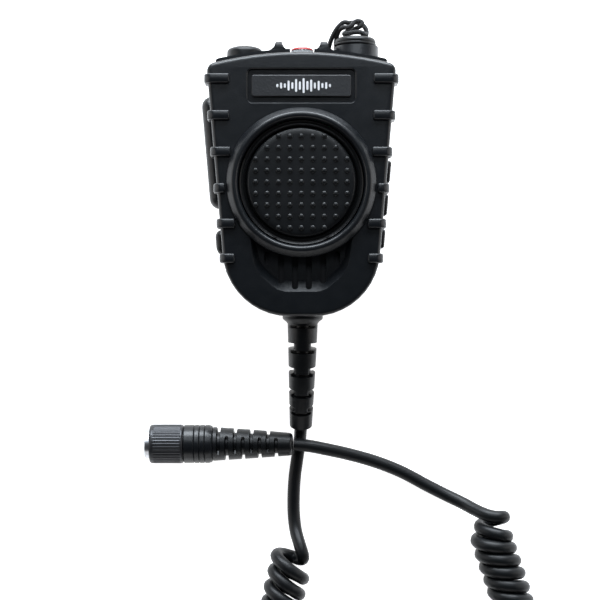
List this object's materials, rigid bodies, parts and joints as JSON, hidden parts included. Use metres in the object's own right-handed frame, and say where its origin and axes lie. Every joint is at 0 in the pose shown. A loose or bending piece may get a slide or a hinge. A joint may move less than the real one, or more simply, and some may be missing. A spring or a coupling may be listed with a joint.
{
  "type": "hand microphone",
  "caption": "Remote speaker microphone in a ribbed black case with a round front talk button, side keys, belt clip and a curly cord ending in an inline plug.",
  "frame": {"origin": "on the clip lever's flat outer face, under the centre of the round front talk button; the microphone lies on its clip", "axes": "+Z out of the front face, +Y to the top of the microphone, away from its cord, +X to the right seen from the front"},
  "size_m": [0.1489, 0.2726, 0.038],
  "materials": {
    "case": "fine moulded texture",
    "rubber": "matte",
    "gloss": "glossy",
    "cord": "satin",
    "badge": "fine texture",
    "red": "translucent glossy",
    "clear": "clear plastic",
    "steel": "brushed",
    "black_steel": "black",
    "board": "solder mask",
    "paper": "pressed paper",
    "magnet": "sintered",
    "gold": "plated",
    "foam": "woven"
  },
  "bodies": {
    "housing": {"accessory_insert": "gloss", "accessory_socket": "black_steel", "badge_plate": "badge", "case_screw_1": "black_steel", "case_screw_2": "black_steel", "case_screw_3": "black_steel", "case_screw_4": "black_steel", "clip_nut": "steel", "clip_stud": "steel", "cord_boot": "rubber", "cord_clamp": "case", "cord_coil": "cord", "cord_lead": "cord", "cord_tail": "cord", "emergency_switch": "black_steel", "front_ptt_switch": "steel", "front_shell": "case", "function_switch": "black_steel", "grille_screen": "black_steel", "housing_gasket": "rubber", "jack_cover_tab": "rubber", "main_pcb": "board", "mic_boot": "rubber", "mic_capsule": "steel", "plug_backshell": "case", "plug_boot": "rubber", "plug_insert": "gloss", "plug_nose": "steel", "plug_pin_1": "gold", "plug_pin_2": "gold", "plug_pin_3": "gold", "ptt_bezel_ring": "case", "ptt_membrane": "gloss", "ptt_switch_board": "board", "rear_shell": "case", "side_jack": "black_steel", "side_ptt_switch": "black_steel", "speaker_cone": "paper", "speaker_frame": "steel", "speaker_gasket": "foam", "speaker_magnet": "magnet", "top_button_switch": "black_steel", "volume_down_switch": "black_steel", "volume_up_switch": "black_steel"},
    "front_ptt": {"front_ptt_button": "rubber"},
    "side_ptt": {"side_ptt_bar": "rubber"},
    "emergency": {"emergency_button": "red", "light_pipe": "clear"},
    "top_key": {"top_button": "rubber"},
    "volume_up": {"volume_up_key": "rubber"},
    "volume_down": {"volume_down_key": "rubber"},
    "function": {"function_key": "rubber"},
    "dust_cap": {"dust_cap": "rubber", "tether_cord": "foam"},
    "jack_cover": {"jack_cover": "gloss"},
    "clip": {"clip_base": "steel", "clip_pin": "steel", "clip_spring": "steel"},
    "clip_lever": {"clip_lever": "steel"},
    "coupling": {"coupling_ring": "black_steel"}
  },
  "joints": [
    {"name": "front_ptt_press", "type": "slide", "parent": "housing", "child": "front_ptt", "axis": [0, 0, -1], "range_m": [0, 0.0015], "stiffness_N_per_m": 1333.3, "springref_m": -0.0015},
    {"name": "side_ptt_press", "type": "slide", "parent": "housing", "child": "side_ptt", "axis": [0.9963, 0.0859, 0], "range_m": [0, 0.0015], "stiffness_N_per_m": 1333.3, "springref_m": -0.0015},
    {"name": "emergency_press", "type": "slide", "parent": "housing", "child": "emergency", "axis": [0, -1, 0], "range_m": [0, 0.001], "stiffness_N_per_m": 2000, "springref_m": -0.001},
    {"name": "top_button_press", "type": "slide", "parent": "housing", "child": "top_key", "axis": [0, -1, 0], "range_m": [0, 0.001], "stiffness_N_per_m": 1500, "springref_m": -0.001},
    {"name": "volume_up_press", "type": "slide", "parent": "housing", "child": "volume_up", "axis": [-0.9963, 0.0859, 0], "range_m": [0, 0.0008], "stiffness_N_per_m": 1875, "springref_m": -0.0008},
    {"name": "volume_down_press", "type": "slide", "parent": "housing", "child": "volume_down", "axis": [-0.9963, 0.0859, 0], "range_m": [0, 0.0008], "stiffness_N_per_m": 1875, "springref_m": -0.0008},
    {"name": "function_press", "type": "slide", "parent": "housing", "child": "function", "axis": [-0.9963, 0.0859, 0], "range_m": [0, 0.0008], "stiffness_N_per_m": 1875, "springref_m": -0.0008},
    {"name": "dust_cap_lift", "type": "slide", "parent": "housing", "child": "dust_cap", "axis": [0, 1, 0], "range_m": [0, 0.006]},
    {"name": "jack_cover_open", "type": "hinge", "parent": "housing", "child": "jack_cover", "pos_m": [-0.02724, -0.02709, 0.0166], "axis": [0, 0, 1], "range_deg": [0, 70]},
    {"name": "clip_swivel", "type": "hinge", "parent": "housing", "child": "clip", "pos_m": [0, 0.01, 0.0072], "axis": [0, 0, 1], "continuous": true},
    {"name": "clip_open", "type": "hinge", "parent": "clip", "child": "clip_lever", "pos_m": [0, 0.024, 0.0038], "axis": [1, 0, 0], "range_deg": [0, 16], "stiffness_Nm_per_rad": 0.35, "springref_deg": -20.05},
    {"name": "coupling_turn", "type": "hinge", "parent": "housing", "child": "coupling", "pos_m": [-0.05, -0.0965, 0.0075], "axis": [1, 0, 0], "continuous": true}
  ]
}
